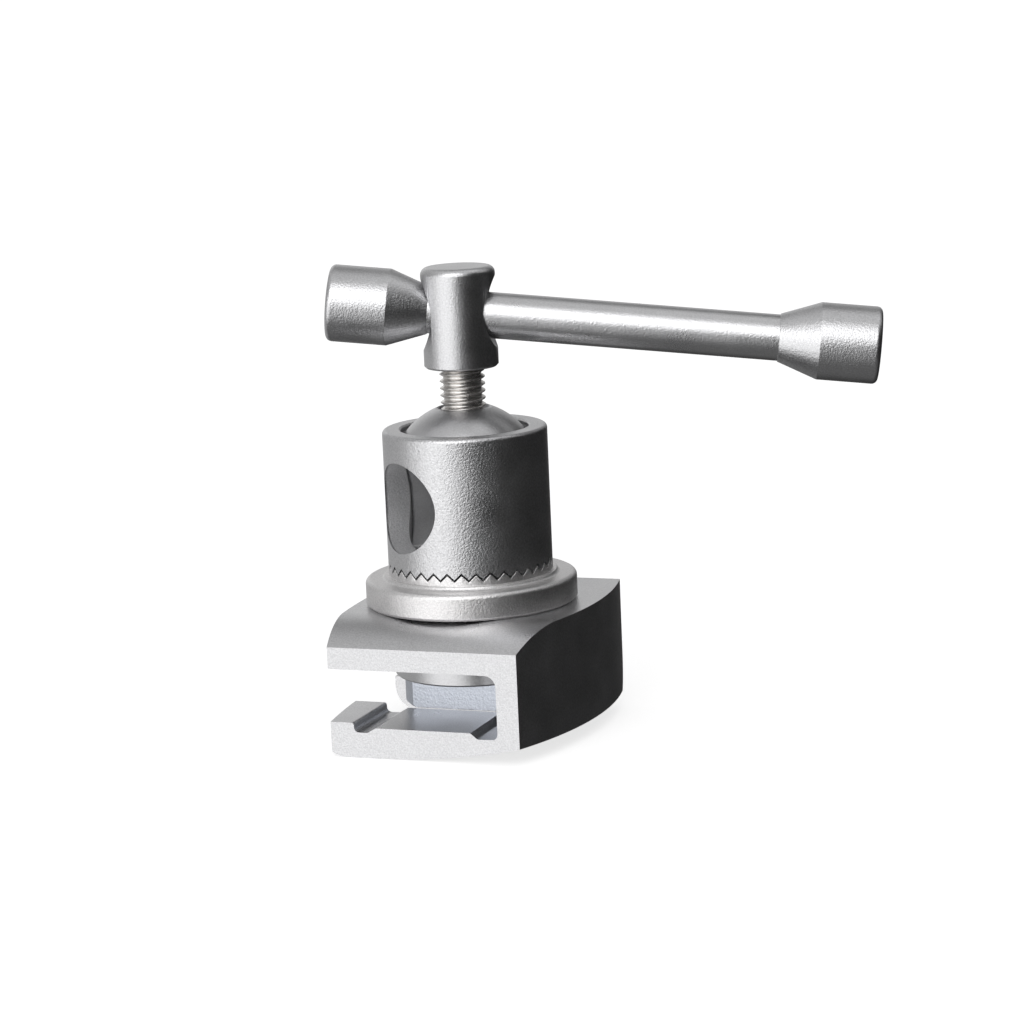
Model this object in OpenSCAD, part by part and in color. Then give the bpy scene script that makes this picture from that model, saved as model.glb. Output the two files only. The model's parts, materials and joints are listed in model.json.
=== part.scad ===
// Clamp for a flat equipment rail, with a turning toothed socket that holds a round rod.
// One screw with a sliding tommy bar clamps the rail, the rod and the socket's angle together.
// The origin is on the main axis, at the face that the clamp stands on.
// +X points to the closed wall of the rail slot, +Y to the back, +Z along the main axis.

/* [Body] */
// Height of the body, from the face it stands on to the seat of the toothed ring
body_h = 23.2; // [23:0.1:23.4]
// Distance from the main axis to the front face
body_front = 24.7; // [24:0.1:26]
// Distance from the main axis to the back face
body_back = 21; // [20.5:0.1:22]
// Furthest reach of the closed side from the main axis
body_right = 22.8; // [22:0.1:24]
// Furthest reach of the open side from the main axis
body_left = 19.7; // [19.6:0.1:20]
// Radius of the rounded front of the top plate
front_round_r = 18; // [16:0.5:19]

/* [Rail slot] */
// Width of the slot, for a rail 25 mm wide
slot_w = 26.6; // [26:0.1:27]
// Height of the slot, for a rail 10 mm thick
slot_h = 10.2; // [10.1:0.1:10.4]
// Height of the hook's flat above the face it stands on
hook_h = 5.4; // [5:0.1:5.6]
// Front edge of the gap that lets the plunger drop between the two prongs
gap_front = -9.8; // [-10.2:0.1:-9.6]
// Back edge of that gap
gap_back = 9; // [8.5:0.1:10]

/* [Toothed ring] */
// Outer diameter of the ring
ring_d = 37.5; // [37.3:0.1:38]
// Height of the ring's rim
ring_h = 4.8; // [4.6:0.1:5]
// Number of face teeth, all round
tooth_count = 36; // [36:12:36]
// Height of a tooth at the outside
tooth_h = 1.2; // [1:0.1:1.4]
// Upright gap between the two sets of teeth
tooth_gap = 0.45; // [0.1:0.05:0.5]

/* [Socket and sleeve] */
// Outer diameter of the socket
socket_d = 29.1; // [28.8:0.1:29.6]
// Height of the socket's rim above the face it stands on
socket_top = 54.4; // [54.2:0.1:55]
// Diameter of the socket's bore
socket_bore = 21.2; // [21:0.1:21.4]
// Diameter of the recess round the sleeve at the socket's rim
rim_bore = 22.6; // [22.4:0.1:22.8]
// Diameter of the rod that the socket takes
rod_d = 16; // [15.5:0.1:16]
// Height of the rod's axis above the face it stands on
rod_z = 41.6; // [41.4:0.1:41.7]
// Direction of the rod about the main axis, from +X
rod_turn = 55; // [0:5:355]
// Outer diameter of the draw sleeve inside the socket
sleeve_d = 20.8; // [20.6:0.1:21]
// Radius of the sleeve's dome
dome_r = 13.5; // [13:0.1:14]
// Height of the flat on top of the dome
dome_top = 57.9; // [57.8:0.1:58.1]
// Diameter of the skirt that shows under the top plate
skirt_d = 28.4; // [28.2:0.1:28.4]
// How far the sleeve rises when the clamp is tightened
draw_travel = 4.2; // [4:0.1:4.2]
// How far the socket lifts clear of the teeth
lift_travel = 1.5; // [1.4:0.1:1.6]

/* [Plunger] */
// Diameter of the plunger's foot
foot_d = 25.2; // [24.8:0.1:25.2]
// Height of the plunger's foot
foot_h = 4.9; // [4.5:0.1:4.9]
// Height of the foot's underside when it lies on the back prong
foot_z = 5.45; // [5.45:0.05:5.5]
// Diameter of the plunger's stem
stem_d = 12.9; // [12:0.1:12.9]

/* [Screw and tommy bar] */
// Major diameter of the screw
screw_d = 8; // [7.8:0.1:8]
// Diameter of the screw's head
head_d = 13.1; // [12.8:0.1:13.6]
// Underside of the head above the face it stands on
head_z = 65; // [64.9:0.1:65.6]
// Height of the head
head_h = 17.7; // [17.4:0.1:18]
// Height of the bar's axis where it crosses the head
bar_z = 74.5; // [74.4:0.1:74.8]
// Diameter of the bar
bar_d = 8.1; // [7.9:0.1:8.1]
// Turn of the bar about the main axis, from +X
bar_turn = 17; // [0:1:30]
// Tilt of the bar in its loose hole, down towards its long end
bar_tilt = 6.5; // [5:0.5:6.5]
// Reach of the short end from the main axis
bar_short = 23; // [23:0.1:24]
// Reach of the long end from the main axis
bar_long = 73.5; // [70:0.1:75]
// Diameter of the knobs
knob_d = 13.5; // [12.5:0.1:13.8]
// Length of a knob
knob_l = 17.6; // [17.4:0.1:17.8]

/* [Hidden] */
$fn = 96;
fit = 0.05;                                   // radial clearance of every running fit
eps = 0.01;
slot_top = hook_h + slot_h;
side_r = 72;                                  // bulge of the closed side, in plan
side_mid = 3;                                 // where that bulge is widest, along Y
open_side_r = 178;                            // bulge of the open side, in plan
open_side_mid = 2;
foot_round_r = 107;                           // underside that curves up to the closed side
foot_from = side_r - 25;                      // where that curve starts, from the bulge's centre
foot_end = 270 + asin(25 / foot_round_r);
prong_left = 19.5;                            // reach of the two prongs
lip_top = hook_h + 0.8;
skirt_r = skirt_d / 2;
skirt_z = 10.6;                               // underside of the skirt
shoulder_z = 20.8;                            // step between skirt and sleeve
stop_z = shoulder_z + draw_travel + 0.1;      // what the step meets in the ring
recess_top = 19.6;                            // roof of the skirt's recess for the foot
pocket_z = 49.75;                             // pad pocket in the dome
pocket_top = 53.1;
crown_in = 12.6;                              // inner radius of the toothed crowns
valley_z = body_h + 6.1;                      // bottom of the ring's tooth gaps
spring_floor = body_h + 5.6;
spring_roof = 33.3;                           // below the rod's way through
rim_floor = rod_z + rod_d / 2 + 1;            // bottom of the recess at the socket's rim
washer_t = 0.6;
tooth_step = 360 / tooth_count;
tooth_w = PI * socket_d / tooth_count;        // pitch at the outside
pin_turn = rod_turn + 90;
pin_z = 37.4;
ring_screw_r = 16.9;
ring_screw_turns = [53, 127, 233, 307];
dowel_r = 16.2;
cap_r = 6.3;
cap_t = 1;
cap_z = foot_z + 19 - cap_t;                  // plunger and cap are 19 mm long
pad_z = 49.8;
pad_t = 2.8;
nose_r = 3;
hole_r = bar_d / 2 + 0.7;                     // loose hole for the bar
hole_sink = 1.9;                              // depth of that hole's countersinks
hole_flare = 1.7;                             // how much they widen it
bar_in_knob = 12;                             // length of the bar inside each knob
steel = [0.70, 0.71, 0.72];
blasted = [0.78, 0.79, 0.80];
turned = [0.84, 0.84, 0.83];
spring_steel = [0.55, 0.56, 0.58];

// Points along an arc about c, from angle a0 to angle a1
function arc(c, r, a0, a1, n = 6) =
    [for (i = [0:n]) c + r * [cos(a0 + (a1 - a0) * i / n), sin(a0 + (a1 - a0) * i / n)]];

// Outline in X and Z, extruded along Y over the whole body
module along_y(front = body_front + 1, back = body_back + 1)
    translate([0, back, 0]) rotate([90, 0, 0]) linear_extrude(front + back) children();

// Bar of a round or slotted section that runs out along X from the main axis, then is turned
module radial(turn, z, from, to, r, drop = 0, rise = 0)
    rotate([0, 0, turn]) {
        translate([from, 0, z - drop]) rotate([0, 90, 0]) cylinder(r = r, h = to - from);
        if (drop + rise > 0) {
            translate([from, 0, z + rise]) rotate([0, 90, 0]) cylinder(r = r, h = to - from);
            translate([from, -r, z - drop]) cube([to - from, 2 * r, drop + rise]);
        }
    }

// V gaps of a toothed crown: dir = 1 opens upwards, -1 downwards
module tooth_gaps(z, dir, turn)
    for (i = [0:tooth_count - 1])
        rotate([0, 0, turn + i * tooth_step])
            translate([crown_in - 2, 0, z]) rotate([90, 0, 90]) linear_extrude(5)
                polygon([[0, 0], [tooth_w * 0.75, dir * tooth_h * 1.5],
                         [-tooth_w * 0.75, dir * tooth_h * 1.5]]);

// Two gently bulged sides between flat front and back faces, the closed one with its curved foot
module body_plan()
    intersection() {
        translate([body_right - side_r, side_mid, 0]) difference() {
            cylinder(r = side_r, h = body_h, $fn = 360);
            rotate_extrude($fn = 360) polygon(concat(
                [[foot_from - 3, -2], [foot_from - 3, -0.5]],
                arc([foot_from, foot_round_r], foot_round_r, 270, foot_end, 8),
                [[side_r + 5, 3], [side_r + 5, -2]]));
        }
        translate([open_side_r - body_left, open_side_mid, 0])
            cylinder(r = open_side_r, h = body_h, $fn = 360);
        translate([-body_left - 1, -body_front, 0])
            cube([body_left + body_right + 2, body_front + body_back, body_h]);
    }

// Side view of the body: the top plate rolls off to the front, the back foot edge is rounded
module body_side() {
    round_y = -body_front + 11;
    back_r = 9;
    width = body_left + body_right + 2;
    translate([-body_left - 1, 0, 0]) {
        translate([0, round_y, 0]) cube([width, body_back - back_r - round_y, body_h]);
        translate([0, round_y, back_r]) cube([width, body_back - round_y, body_h - back_r]);
        translate([0, body_back - back_r, back_r]) rotate([0, 90, 0]) cylinder(r = back_r, h = width);
        intersection() {
            translate([0, round_y, body_h - front_round_r]) rotate([0, 90, 0])
                cylinder(r = front_round_r, h = width, $fn = 180);
            translate([0, -body_front, 0]) cube([width, body_front, body_h]);
        }
        translate([0, -body_front, 0]) cube([width, body_front + round_y + eps, hook_h + slot_h + 1]);
    }
}

// Front view of the body without its slot
module body_face()
    polygon(concat(
        [[-body_left - 1, body_h], [-body_left - 1, slot_top - 2], [-prong_left, slot_top - 2]],
        arc([-prong_left + 4.4, 4.4], 4.4, 180, 270),
        [[body_right + 4, 0], [body_right + 4, body_h]]));

// Rail slot with its relief grooves beside the lip and the wall
module slot_face() {
    half = slot_w / 2;
    polygon(concat(
        [[-body_left - 5, slot_top], [-body_left - 5, lip_top], [-half - 0.5, lip_top]],
        arc([-half - 0.5, lip_top - 0.5], 0.5, 90, 0, 3),
        arc([-half + 0.9, hook_h], 0.9, 180, 270, 4),
        arc([-half + 2.3, hook_h - 0.15], 0.75, 270, 315, 3),
        [[-half + 4, hook_h], [half - 5, hook_h]],
        arc([half - 3.4, hook_h - 0.15], 0.9, 225, 270, 3),
        arc([half - 1, hook_h], 1, 270, 360, 4),
        arc([half - 2, slot_top - 2], 2, 0, 90, 5)));
}

module clamp_body()
    color(blasted) difference() {
        intersection() {
            body_plan();
            body_side();
            along_y() body_face();
        }
        along_y() slot_face();
        translate([-body_left - 5, gap_front, -1])
            cube([body_left + 5 + slot_w / 2, gap_back - gap_front, slot_top]);
        translate([0, 0, skirt_z - 0.5]) cylinder(r = skirt_r + fit, h = body_h);
        for (a = ring_screw_turns) rotate([0, 0, a]) translate([ring_screw_r, 0, 0]) {
            translate([0, 0, slot_top - 1]) cylinder(r = 2.3, h = 4.2);
            translate([0, 0, slot_top]) cylinder(r = 1.35, h = body_h);
        }
        for (a = [0, 180]) rotate([0, 0, a]) translate([dowel_r, 0, body_h - 4]) cylinder(r = 1.5, h = 5);
    }

module toothed_ring() {
    ring_r = ring_d / 2;
    rim_z = body_h + ring_h;
    boss_z = rim_z + 0.6;
    crown_z = valley_z + tooth_h;
    color(steel) difference() {
        rotate_extrude() polygon(concat(
            [[skirt_r + fit, body_h], [ring_r - 0.5, body_h], [ring_r, body_h + 0.5]],
            arc([ring_r - 0.9, rim_z - 0.9], 0.9, 0, 90, 5),
            [[15.7, rim_z], [15.4, rim_z + 0.2], [15.2, boss_z], [socket_d / 2, boss_z],
             [socket_d / 2, crown_z], [crown_in, crown_z], [crown_in, spring_floor],
             [sleeve_d / 2 + fit, spring_floor], [sleeve_d / 2 + fit, stop_z], [skirt_r + fit, stop_z]]));
        tooth_gaps(valley_z, 1, 0);
        for (a = ring_screw_turns) rotate([0, 0, a]) translate([ring_screw_r, 0, body_h - 1])
            cylinder(r = 1.25, h = 4.6);
        for (a = [0, 180]) rotate([0, 0, a]) translate([dowel_r, 0, body_h - 1]) cylinder(r = 1.5, h = 4);
    }
}

module ring_screws()
    color(turned) for (a = ring_screw_turns) rotate([0, 0, a]) translate([ring_screw_r, 0, 0]) difference() {
        union() {
            translate([0, 0, slot_top + 0.5]) cylinder(r = 2.2, h = 2.7);
            translate([0, 0, slot_top + 3]) cylinder(r = 1.25, h = body_h + 3.4 - slot_top - 3);
        }
        translate([0, 0, slot_top - 1]) cylinder(r = 1.15, h = 3, $fn = 6);
    }

module ring_dowels()
    color(turned) for (a = [0, 180]) rotate([0, 0, a]) translate([dowel_r, 0, body_h - 3.9])
        cylinder(r = 1.5, h = 6.8);

module thrust_washer()
    color(turned) translate([0, 0, spring_floor]) difference() {
        cylinder(r = crown_in - 0.1, h = washer_t);
        translate([0, 0, -1]) cylinder(r = sleeve_d / 2 + 0.1, h = washer_t + 2);
    }

// Round wire wound into a helix, with closed flat ends
module lift_spring() {
    wire_r = 0.45;
    coil_r = 11.8;
    turns = 2.5;
    rings = 60;
    sides = 8;
    low = spring_floor + washer_t + wire_r + 0.02;
    high = spring_roof - wire_r - 0.02;
    points = [for (i = [0:rings]) for (k = [0:sides - 1])
        let (turn = 360 * turns * i / rings, side = 360 * k / sides,
             r = coil_r + wire_r * cos(side),
             z = low + (high - low) * i / rings + wire_r * sin(side))
        [r * cos(turn), r * sin(turn), z]];
    walls = [for (i = [0:rings - 1]) for (k = [0:sides - 1])
        let (a = i * sides + k, b = i * sides + (k + 1) % sides)
        [a, b, b + sides, a + sides]];
    start = [for (k = [0:sides - 1]) sides - 1 - k];
    end = [for (k = [0:sides - 1]) rings * sides + k];
    color(spring_steel) polyhedron(points, concat([start], walls, [end]));
}

module rod_socket() {
    r = socket_d / 2;
    tip_z = valley_z + tooth_gap;
    color(blasted) difference() {
        rotate_extrude() polygon(concat(
            [[crown_in, tip_z], [r, tip_z]],
            arc([r - 0.7, socket_top - 0.7], 0.7, 0, 90, 5),
            [[rim_bore / 2 + 0.3, socket_top], [rim_bore / 2, socket_top - 0.3],
             [rim_bore / 2, rim_floor], [socket_bore / 2, rim_floor],
             [socket_bore / 2, spring_roof], [crown_in, spring_roof]]));
        tooth_gaps(tip_z + tooth_h, -1, tooth_step / 2);
        radial(rod_turn, rod_z, -r - 1, r + 1, rod_d / 2);
        radial(pin_turn, pin_z, 0, r + 1, 1.5);
    }
}

module guide_pin()
    color(turned) radial(pin_turn, pin_z, sleeve_d / 2 - 1.2, socket_d / 2 - 0.2, 1.5);

module draw_sleeve() {
    r = sleeve_d / 2;
    dome_z = dome_top - sqrt(dome_r * dome_r - 4.65 * 4.65);
    dome_edge = acos(r / dome_r);
    dome_last = acos(4.65 / dome_r);
    color(blasted) difference() {
        rotate_extrude() polygon(concat(
            [[foot_d / 2 + 0.1, skirt_z], [skirt_r - 0.3, skirt_z], [skirt_r, skirt_z + 0.3],
             [skirt_r, shoulder_z], [r, shoulder_z]],
            arc([0, dome_z], dome_r, dome_edge, dome_last, 14),
            [[4.55, dome_top - 0.6], [screw_d / 2 + fit, dome_top - 0.6],
             [screw_d / 2 + fit, pocket_top], [6.3, pocket_top], [6.3, pocket_z],
             [stem_d / 2 + fit, pocket_z - 0.3], [stem_d / 2 + fit, recess_top],
             [foot_d / 2 + 0.1, recess_top]]));
        radial(rod_turn, rod_z, -r - 1, r + 1, rod_d / 2 + 0.2, draw_travel + 0.1, 0.1);
        radial(pin_turn, pin_z, 0, r + 1, 1.6, draw_travel + 0.1, lift_travel + 0.1);
    }
}

module rail_plunger()
    color(turned) difference() {
        union() {
            translate([0, 0, foot_z + 0.4]) cylinder(r = foot_d / 2, h = foot_h - 0.4);
            translate([0, 0, foot_z]) cylinder(r1 = foot_d / 2 - 0.4, r2 = foot_d / 2, h = 0.4 + eps);
            translate([0, 0, foot_z + 1]) cylinder(r = stem_d / 2, h = cap_z - foot_z - 1);
        }
        translate([-foot_d / 2 - 1, gap_front - foot_d, foot_z - 1])
            cube([foot_d + 2, foot_d + 0.4, foot_h + 2]);
        translate([0, 0, cap_z - 7]) cylinder(r = 2, h = 8);
    }

module plunger_cap()
    color(turned) translate([0, 0, cap_z]) difference() {
        cylinder(r = cap_r, h = cap_t);
        translate([0, 0, -1]) cylinder(r = 2.1, h = 2);
        cylinder(r1 = 2.1, r2 = 4, h = cap_t + eps);
    }

module cap_screw()
    color(steel) difference() {
        union() {
            translate([0, 0, cap_z - 6]) cylinder(r = 2, h = 6);
            translate([0, 0, cap_z]) cylinder(r1 = 2, r2 = 3.8, h = cap_t - 0.05);
        }
        translate([0, 0, cap_z - 0.4]) cylinder(r = 1.3, h = 2, $fn = 6);
    }

module thrust_pad()
    color(turned) difference() {
        union() {
            translate([0, 0, pad_z]) cylinder(r1 = 5.5, r2 = 6, h = 0.5);
            translate([0, 0, pad_z + 0.5]) cylinder(r = 6, h = pad_t - 0.5);
        }
        translate([0, 0, pad_z + 0.8]) cylinder(r = nose_r + fit, h = pad_t);
        translate([0, 0, pad_z + 1.6]) cylinder(r = 3.6, h = 0.7);
    }

// Split wire ring that holds the pad on the screw's nose
module pad_clip()
    color(spring_steel) translate([0, 0, pad_z + 1.65]) difference() {
        cylinder(r = 3.55, h = 0.6);
        translate([0, 0, -1]) cylinder(r = 2.75, h = 3);
        translate([0, -0.6, -1]) cube([5, 1.2, 3]);
    }

module spindle() {
    major = screw_d / 2;
    color(turned) rotate_extrude() polygon([
        [0, pad_z + 0.9], [nose_r - 0.3, pad_z + 0.9], [nose_r, pad_z + 1.2], [nose_r, pad_z + 1.55],
        [2.65, pad_z + 1.6], [2.65, pad_z + 2.35], [nose_r, pad_z + 2.4], [nose_r, pad_z + pad_t + 0.2],
        [major - 0.4, pad_z + pad_t + 0.2], [major, pad_z + pad_t + 0.6], [major, head_z + 2.8],
        [major - 0.5, head_z + 3.2], [0, head_z + 3.2]]);
}

module tee_head() {
    r = head_d / 2;
    top = head_z + head_h;
    color(steel) difference() {
        rotate_extrude() polygon(concat(
            [[0, head_z], [r - 0.4, head_z], [r, head_z + 0.4]],
            arc([r - 1.3, top - 1.3], 1.3, 0, 90, 6),
            [[0, top]]));
        translate([0, 0, head_z - 1]) cylinder(r = screw_d / 2, h = 4.3);
        translate([0, 0, bar_z]) rotate([0, 0, bar_turn]) {
            rotate([0, 90, 0]) translate([0, 0, -r - 1]) cylinder(r = hole_r, h = head_d + 2);
            for (side = [0, 180]) rotate([0, 0, side]) translate([r - hole_sink, 0, 0])
                rotate([0, 90, 0]) cylinder(r1 = hole_r, r2 = hole_r + hole_flare, h = hole_sink + eps);
        }
        radial(90, head_z + 1.7, 1.5, r + 1, 1);
    }
}

module head_pin()
    color(turned) radial(90, head_z + 1.7, screw_d / 2, head_d / 2 - 0.15, 1);

// Frame of the bar: local Z runs along it, towards its long end
module on_bar()
    translate([0, 0, bar_z]) rotate([0, 0, bar_turn]) rotate([0, 90 + bar_tilt, 0]) children();

module tommy_bar() {
    r = bar_d / 2;
    start = -bar_short + knob_l - bar_in_knob;
    end = bar_long - knob_l + bar_in_knob;
    color(turned) on_bar() rotate_extrude() polygon([
        [0, start], [r - 0.5, start], [r, start + 0.5], [r, end - 0.5], [r - 0.5, end], [0, end]]);
}

// Round knob with a tapered neck, its neck end at z = 0 and its outer end at z = knob_l
module knob() {
    r = knob_d / 2;
    neck_r = bar_d / 2 + 0.15;
    cone_l = 7;
    color(steel) difference() {
        rotate_extrude() polygon(concat(
            [[0, 0], [neck_r, 0], [r, cone_l]],
            arc([r - 1, knob_l - 1], 1, 0, 90, 5),
            [[0, knob_l]]));
        translate([0, 0, -1]) cylinder(r = bar_d / 2, h = bar_in_knob + 1);
    }
}

module knob_short_end()
    on_bar() translate([0, 0, -bar_short + knob_l]) rotate([180, 0, 0]) knob();

module knob_long_end()
    on_bar() translate([0, 0, bar_long - knob_l]) knob();

clamp_body();
toothed_ring();
ring_screws();
ring_dowels();
thrust_washer();
lift_spring();
rod_socket();
guide_pin();
draw_sleeve();
rail_plunger();
plunger_cap();
cap_screw();
thrust_pad();
pad_clip();
spindle();
tee_head();
head_pin();
tommy_bar();
knob_short_end();
knob_long_end();
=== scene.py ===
"""Looks of the rail clamp: blasted and turned stainless steel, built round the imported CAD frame."""
import json
import math

import bmesh
import bpy
from mathutils import Matrix, Vector


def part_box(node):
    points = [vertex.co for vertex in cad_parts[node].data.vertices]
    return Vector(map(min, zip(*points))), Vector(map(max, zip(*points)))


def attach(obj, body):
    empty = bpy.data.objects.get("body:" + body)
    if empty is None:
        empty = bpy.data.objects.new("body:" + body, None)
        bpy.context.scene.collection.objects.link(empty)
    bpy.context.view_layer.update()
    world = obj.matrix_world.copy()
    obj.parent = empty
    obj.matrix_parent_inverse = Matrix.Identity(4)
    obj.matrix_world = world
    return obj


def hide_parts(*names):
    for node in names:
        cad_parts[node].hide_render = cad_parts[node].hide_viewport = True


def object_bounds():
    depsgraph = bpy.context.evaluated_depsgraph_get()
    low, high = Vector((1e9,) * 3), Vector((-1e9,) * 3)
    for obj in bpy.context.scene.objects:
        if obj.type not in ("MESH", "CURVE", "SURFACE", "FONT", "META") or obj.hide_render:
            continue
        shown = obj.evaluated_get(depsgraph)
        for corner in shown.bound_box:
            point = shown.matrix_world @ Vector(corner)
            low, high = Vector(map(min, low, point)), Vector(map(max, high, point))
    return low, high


MM = 0.001

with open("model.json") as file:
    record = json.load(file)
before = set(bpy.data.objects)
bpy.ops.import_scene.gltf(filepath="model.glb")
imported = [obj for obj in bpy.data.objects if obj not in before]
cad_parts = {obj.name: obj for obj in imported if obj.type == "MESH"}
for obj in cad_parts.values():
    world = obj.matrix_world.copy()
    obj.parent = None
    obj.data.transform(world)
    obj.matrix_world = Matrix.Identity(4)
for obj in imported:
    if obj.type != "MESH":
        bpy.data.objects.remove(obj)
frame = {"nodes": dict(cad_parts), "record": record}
cad_low, cad_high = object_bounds()
nodes = frame["nodes"]

# ---------------------------------------------------------------- places read from the frame
SLOTS = {row["node"]: row["material_slot"] for row in frame["record"]["subparts"]}
BODIES = {node: body for body, members in frame["record"]["behaviour"]["bodies"].items() for node in members}
ring_low, ring_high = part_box("toothed_ring")
pad_low, pad_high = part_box("thrust_pad")
spindle_low, spindle_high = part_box("spindle")
seat = Vector((0, 0, ring_low.z))           # where the ring sits on the body, on the main axis


# ---------------------------------------------------------------- shader helpers
def node_of(tree, kind, **attributes):
    """Adds a shader node and sets its plain attributes."""
    node = tree.nodes.new(kind)
    for name, value in attributes.items():
        setattr(node, name, value)
    return node


def feed(tree, node, **inputs):
    """Sets inputs by name, from a number, a colour or another node's output."""
    for name, value in inputs.items():
        socket = node.inputs[name.replace("_", " ")]
        if isinstance(value, bpy.types.NodeSocket):
            tree.links.new(value, socket)
        else:
            socket.default_value = value
    return node


def spread(tree, value, low, high, from_low=0.3, from_high=0.7):
    """Stretches a noise value's middle range onto low to high."""
    node = node_of(tree, "ShaderNodeMapRange")
    feed(tree, node, Value=value, From_Min=from_low, From_Max=from_high, To_Min=low, To_Max=high)
    return node.outputs["Result"]


def combine(tree, operation, first, second):
    """One step of arithmetic on two values or outputs."""
    node = node_of(tree, "ShaderNodeMath", operation=operation)
    for socket, value in zip(node.inputs, (first, second)):
        if isinstance(value, bpy.types.NodeSocket):
            tree.links.new(value, socket)
        else:
            socket.default_value = value
    return node.outputs[0]


# ---------------------------------------------------------------- materials
ROUGH_SPREAD = 0.04             # how far the roughness wanders either way
PEBBLE_SHARE = 0.8              # height of the pebbles against the fine grain on them
TOP_FROM, TOP_FULL = 0.6, 0.95  # upward part of the normal where a smoother top starts and is full
TOP_SMOOTHING = 0.4             # share of the relief that such a top loses
BORE_ROUGHER = 0.15             # added roughness inside a hole
BORE_DULLER = 0.35              # share of the metallic look lost there


def steel(name, colour, rough, grain, relief, mottle=0.03, fleck=0.0, top_rough=None, bored=None):
    """Stainless steel.

    grain is the size of the blasted texture and relief its height, both in mm. mottle and fleck are
    slow and fine changes of brightness. top_rough is the roughness of faces that look up the main axis,
    if they are smoother than the rest. bored is a radius about the main axis and a height, both in mm,
    within which the surface is the duller one inside a hole.
    """
    mat = bpy.data.materials.new(name)
    mat.use_nodes = True
    tree = mat.node_tree
    tree.nodes.clear()
    out = node_of(tree, "ShaderNodeOutputMaterial")
    shader = feed(tree, node_of(tree, "ShaderNodeBsdfPrincipled"), Metallic=1.0)
    tree.links.new(shader.outputs[0], out.inputs[0])
    coords = node_of(tree, "ShaderNodeTexCoord").outputs["Object"]

    def noise(size, detail=2.0):
        tex = node_of(tree, "ShaderNodeTexNoise")
        return feed(tree, tex, Vector=coords, Scale=1.0 / (size * MM), Detail=detail).outputs["Fac"]

    broad = noise(7.0, 3.0)
    fine = noise(grain * 0.6, 2.0)
    pebbles = feed(tree, node_of(tree, "ShaderNodeTexVoronoi", feature="SMOOTH_F1"),
                   Vector=coords, Scale=1.0 / (grain * MM)).outputs["Distance"]
    # colour: slow mottling and fine flecks
    level = spread(tree, broad, 1.0 - mottle, 1.0 + mottle)
    if fleck:
        level = combine(tree, "ADD", level, spread(tree, noise(grain * 0.8, 1.0), -fleck, fleck))
    shade = node_of(tree, "ShaderNodeCombineColor")
    feed(tree, shade, Red=level, Green=level, Blue=level)
    tint = node_of(tree, "ShaderNodeMix", data_type="RGBA", blend_type="MULTIPLY")
    tint.inputs["Factor"].default_value = 1.0
    colour_a, colour_b = [socket for socket in tint.inputs if socket.type == "RGBA"]
    colour_a.default_value = (*colour, 1.0)
    tree.links.new(shade.outputs[0], colour_b)
    colour_out = next(socket for socket in tint.outputs if socket.type == "RGBA")
    tree.links.new(colour_out, shader.inputs["Base Color"])
    roughness = spread(tree, broad, rough - ROUGH_SPREAD, rough + ROUGH_SPREAD)
    # relief: pebbles with finer grain on them
    height = combine(tree, "ADD", combine(tree, "MULTIPLY", pebbles, -PEBBLE_SHARE), fine)
    bump = feed(tree, node_of(tree, "ShaderNodeBump"), Strength=1.0, Distance=relief * MM, Height=height)
    if top_rough:
        split = node_of(tree, "ShaderNodeSeparateXYZ")
        feed(tree, split, Vector=node_of(tree, "ShaderNodeTexCoord").outputs["Normal"])
        top = spread(tree, split.outputs["Z"], 0.0, 1.0, TOP_FROM, TOP_FULL)
        roughness = combine(tree, "ADD", roughness, combine(tree, "MULTIPLY", top, top_rough - rough))
        lost = combine(tree, "MULTIPLY", top, TOP_SMOOTHING)
        feed(tree, bump, Strength=combine(tree, "SUBTRACT", 1.0, lost))
    if bored:
        bore_radius, bore_top = bored
        split = feed(tree, node_of(tree, "ShaderNodeSeparateXYZ"), Vector=coords)
        flat = node_of(tree, "ShaderNodeCombineXYZ")
        feed(tree, flat, X=split.outputs["X"], Y=split.outputs["Y"])
        radius = node_of(tree, "ShaderNodeVectorMath", operation="LENGTH")
        tree.links.new(flat.outputs["Vector"], radius.inputs[0])
        near = combine(tree, "LESS_THAN", radius.outputs["Value"], bore_radius * MM)
        below = combine(tree, "LESS_THAN", split.outputs["Z"], bore_top * MM)
        inside = combine(tree, "MULTIPLY", near, below)
        roughness = combine(tree, "ADD", roughness, combine(tree, "MULTIPLY", inside, BORE_ROUGHER))
        lost = combine(tree, "MULTIPLY", inside, BORE_DULLER)
        tree.links.new(combine(tree, "SUBTRACT", 1.0, lost), shader.inputs["Metallic"])
    tree.links.new(roughness, shader.inputs["Roughness"])
    tree.links.new(bump.outputs[0], shader.inputs["Normal"])
    return mat


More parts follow.
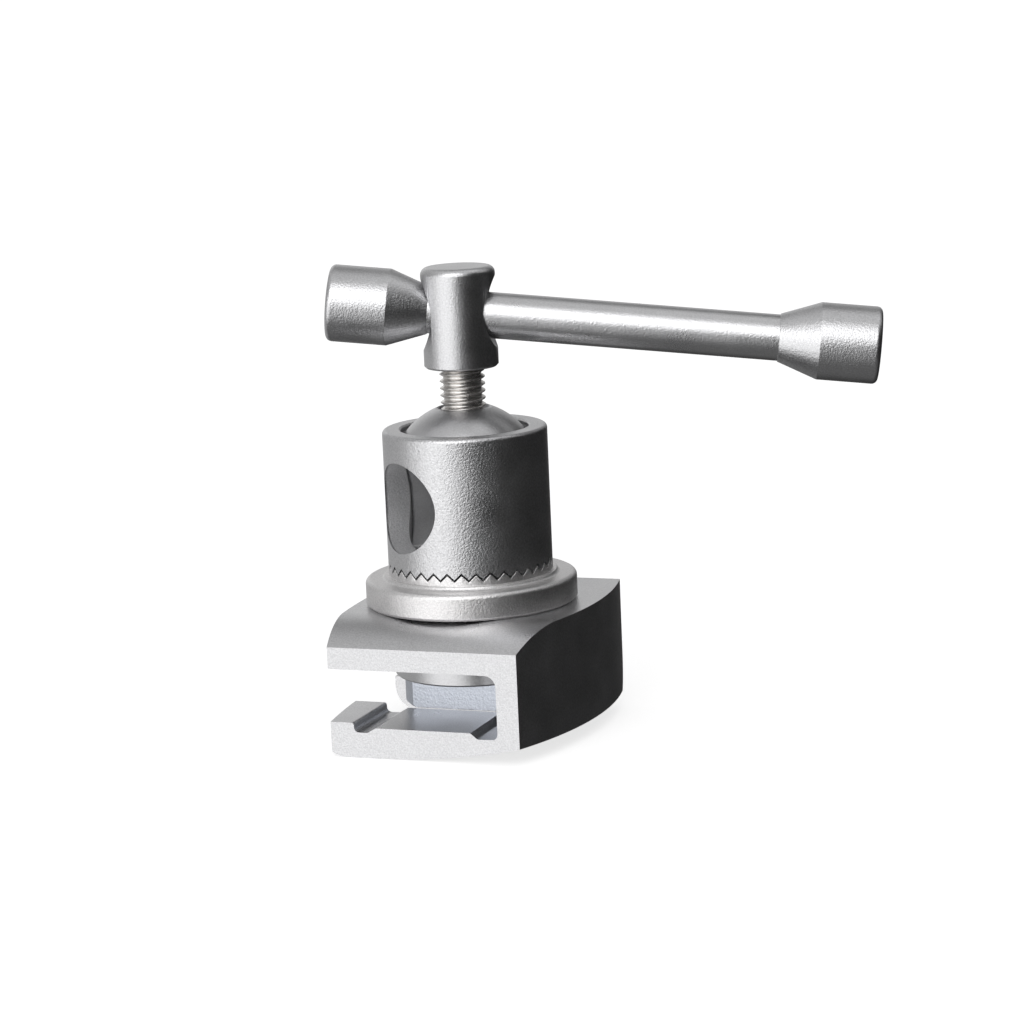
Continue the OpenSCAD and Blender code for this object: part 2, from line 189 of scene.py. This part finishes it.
MATERIALS = {
    "body_steel": steel("body_steel", (0.62, 0.62, 0.63), 0.36, 0.34, 0.036, 0.03, 0.10, top_rough=0.30),
    "blasted_steel": steel("blasted_steel", (0.62, 0.62, 0.63), 0.35, 0.36, 0.055, 0.03, 0.12,
                           bored=(14.2, 53.5)),
    "ring_steel": steel("ring_steel", (0.76, 0.75, 0.75), 0.40, 0.36, 0.052, 0.03, 0.10),
    "dome_steel": steel("dome_steel", (0.60, 0.60, 0.61), 0.34, 0.36, 0.020, 0.03, 0.05,
                        bored=(10.2, 52.0)),
    "plunger_steel": steel("plunger_steel", (0.56, 0.59, 0.65), 0.38, 0.42, 0.050, 0.06, 0.08),
    "turned_steel": steel("turned_steel", (0.64, 0.64, 0.65), 0.26, 0.40, 0.008, 0.03, 0.02),
    "thread_steel": steel("thread_steel", (0.70, 0.68, 0.66), 0.24, 0.40, 0.006, 0.03, 0.03),
    "head_steel": steel("head_steel", (0.62, 0.62, 0.63), 0.32, 0.34, 0.036, 0.03, 0.10),
    "bar_steel": steel("bar_steel", (0.64, 0.64, 0.65), 0.29, 0.34, 0.024, 0.03, 0.07),
    "spring_steel": steel("spring_steel", (0.42, 0.43, 0.46), 0.28, 0.40, 0.010),
}


def paint(obj, slot_name):
    obj.data.materials.clear()
    obj.data.materials.append(MATERIALS[slot_name])


for node_name, obj in nodes.items():
    paint(obj, SLOTS[node_name])


# ---------------------------------------------------------------- pieces
def stand_for(bm, node_name, sharp):
    """Turns a bmesh into the finished piece for a CAD node, with crisp edges over sharp degrees."""
    mesh = bpy.data.meshes.new(node_name + "_skin")
    bm.to_mesh(mesh)
    bm.free()
    mesh.polygons.foreach_set("use_smooth", [True] * len(mesh.polygons))
    mesh.set_sharp_from_angle(angle=math.radians(sharp))
    obj = bpy.data.objects.new(node_name + "_skin", mesh)
    bpy.context.scene.collection.objects.link(obj)
    paint(obj, SLOTS[node_name])
    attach(obj, BODIES[node_name])
    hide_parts(node_name)
    return obj


def refined(node_name, edge, crisp, segments=3):
    """The node's own shape, with edges sharper than crisp degrees rounded to radius edge."""
    weld = 0.002 * MM
    bm = bmesh.new()
    bm.from_mesh(nodes[node_name].data)
    bmesh.ops.remove_doubles(bm, verts=bm.verts, dist=weld)
    bmesh.ops.dissolve_limit(bm, angle_limit=math.radians(0.6), verts=bm.verts, edges=bm.edges)
    corners = [e for e in bm.edges if e.is_manifold and e.calc_face_angle(0) > math.radians(crisp)]
    bmesh.ops.bevel(bm, geom=corners, offset=edge, segments=segments, profile=0.5,
                    affect="EDGES", clamp_overlap=True)
    bmesh.ops.dissolve_degenerate(bm, dist=weld, edges=bm.edges)
    obj = stand_for(bm, node_name, sharp=40)
    obj.modifiers.new("flats", "WEIGHTED_NORMAL").keep_sharp = True


def lathe(rows, sides):
    """A closed round piece about the main axis. Each row is a height and a function from angle to radius."""
    bm = bmesh.new()
    turns = [2 * math.pi * k / sides for k in range(sides)]
    loops = [[bm.verts.new((radius(t) * math.cos(t), radius(t) * math.sin(t), z)) for t in turns]
             for z, radius in rows]
    for lower, upper in zip(loops, loops[1:]):
        for k in range(sides):
            bm.faces.new((lower[k], lower[(k + 1) % sides], upper[(k + 1) % sides], upper[k]))
    bm.faces.new(list(reversed(loops[0])))
    bm.faces.new(loops[-1])
    return bm


def threaded_spindle():
    """The M8 x 1.25 screw: a plain nose in the pad, then a right-hand thread up into the head."""
    pitch, major, depth = 1.25 * MM, 4.0 * MM, 0.65 * MM
    nose, run_out, per_pitch = 3.0 * MM, 0.8 * MM, 14
    crest, root = 0.125, 0.75               # where a flank starts and ends, as shares of half a pitch
    start, end = pad_high.z + 0.3 * MM, spindle_high.z

    def plain(radius):
        return lambda turn: radius

    def thread(z):
        fade = min(1.0, (z - start) / run_out, (end - z) / run_out)
        core = major - depth

        def radius(turn):
            from_crest = abs(2 * ((z / pitch - turn / (2 * math.pi)) % 1.0) - 1)
            flank = min(1.0, max(0.0, (from_crest - crest) / (root - crest)))
            return core + depth * (1 - flank) * fade
        return radius

    count = math.ceil((end - start) / pitch * per_pitch)
    rows = [(spindle_low.z, plain(nose - 0.3 * MM)), (spindle_low.z + 0.3 * MM, plain(nose)),
            (start - 0.05 * MM, plain(nose))]
    rows += [(z, thread(z)) for z in (start + (end - start) * i / count for i in range(count + 1))]
    stand_for(lathe(rows, sides=64), "spindle", sharp=60)


# edge radius in mm, and the angle in degrees from which an edge counts as one
EDGES = {"clamp_body": (0.35, 28), "toothed_ring": (0.12, 28), "rod_socket": (0.25, 28),
         "draw_sleeve": (0.15, 28), "rail_plunger": (0.2, 28), "tee_head": (0.25, 28),
         "knob_short_end": (0.12, 13), "knob_long_end": (0.12, 13)}
for node_name, (edge, crisp) in EDGES.items():
    refined(node_name, edge * MM, crisp)
threaded_spindle()

# ---------------------------------------------------------------- camera
view_turn, view_rise, view_roll = math.radians(21), math.radians(10.62), math.radians(2.5)
distance, shift_side, shift_up = 600 * MM, 7.7 * MM, 15.2 * MM
away = Vector((-math.sin(view_turn) * math.cos(view_rise), math.cos(view_turn) * math.cos(view_rise),
               -math.sin(view_rise)))
level = Vector((math.cos(view_turn), math.sin(view_turn), 0))
upright = level.cross(away)
eye = seat - away * distance + level * shift_side + upright * shift_up
right = level * math.cos(view_roll) - upright * math.sin(view_roll)
up = level * math.sin(view_roll) + upright * math.cos(view_roll)
camera_data = bpy.data.cameras.new("camera")
camera_data.lens = 118.8
camera_data.sensor_width = 36
camera_data.clip_start = 0.01
camera_data.clip_end = 100
camera = bpy.data.objects.new("camera", camera_data)
camera.matrix_world = Matrix.Translation(eye) @ Matrix((right, up, -away)).transposed().to_4x4()
bpy.context.scene.collection.objects.link(camera)
bpy.context.scene.camera = camera

# ---------------------------------------------------------------- floor
reach = 12.0
floor_mesh = bpy.data.meshes.new("floor")
floor_mesh.from_pydata([(-reach, -reach, 0), (reach, -reach, 0), (reach, reach, 0), (-reach, reach, 0)], [],
                       [(0, 1, 2, 3)])
floor = bpy.data.objects.new("floor", floor_mesh)
floor.location.z = cad_low.z
floor.visible_glossy = False
bpy.context.scene.collection.objects.link(floor)
floor_mat = bpy.data.materials.new("floor")
floor_mat.use_nodes = True
feed(floor_mat.node_tree, floor_mat.node_tree.nodes["Principled BSDF"], Base_Color=(0.5, 0.5, 0.5, 1),
     Roughness=0.9, Specular_IOR_Level=0.0, Emission_Color=(1, 1, 1, 1), Emission_Strength=0.72)
floor_mesh.materials.append(floor_mat)


# ---------------------------------------------------------------- light
def towards(turn, rise):
    """The direction at turn degrees right of the camera and rise degrees above the horizon."""
    a, e = math.radians(turn) + view_turn, math.radians(rise)
    return Vector((math.sin(a) * math.cos(e), -math.cos(a) * math.cos(e), math.sin(e)))


# Soft boxes as seen from the object: turn, rise, full radius and outer radius in degrees, brightness
SOFT_BOXES = [
    (-12, 34, 12, 36, 2.0),     # key, in front and above
    (-46, -3, 14, 48, 1.45),    # white card on the left
    (-130, 0, 20, 65, 0.45),    # dim card behind on the left
    (-50, 76, 20, 60, 0.6),     # overhead, on the left
    (180, 15, 10, 35, 0.5),     # low light behind
    (110, 50, 10, 35, 0.5),     # small high light on the right
    (-10, -75, 20, 65, 0.12),   # white table
]
DARK = 0.022

world = bpy.data.worlds.new("studio")
world.use_nodes = True
bpy.context.scene.world = world
tree = world.node_tree
tree.nodes.clear()
direction = node_of(tree, "ShaderNodeTexCoord").outputs["Generated"]
total = DARK
for turn, rise, full, outer, brightness in SOFT_BOXES:
    facing = node_of(tree, "ShaderNodeVectorMath", operation="DOT_PRODUCT")
    tree.links.new(direction, facing.inputs[0])
    facing.inputs[1].default_value = towards(turn, rise)
    glow = node_of(tree, "ShaderNodeMapRange", interpolation_type="SMOOTHSTEP")
    feed(tree, glow, Value=facing.outputs["Value"], From_Min=math.cos(math.radians(outer)),
         From_Max=math.cos(math.radians(full)), To_Min=0.0, To_Max=brightness)
    total = combine(tree, "ADD", glow.outputs["Result"], total)
# the backdrop itself is plain white
seen = node_of(tree, "ShaderNodeLightPath").outputs["Is Camera Ray"]
backdrop = node_of(tree, "ShaderNodeMix", data_type="FLOAT")
tree.links.new(seen, backdrop.inputs[0])
tree.links.new(total, backdrop.inputs[2])
backdrop.inputs[3].default_value = 1.0
background = node_of(tree, "ShaderNodeBackground")
feed(tree, background, Color=(1, 1, 1, 1), Strength=backdrop.outputs[0])
tree.links.new(background.outputs[0], node_of(tree, "ShaderNodeOutputWorld").inputs[0])
bpy.context.scene.view_settings.view_transform = "Standard"
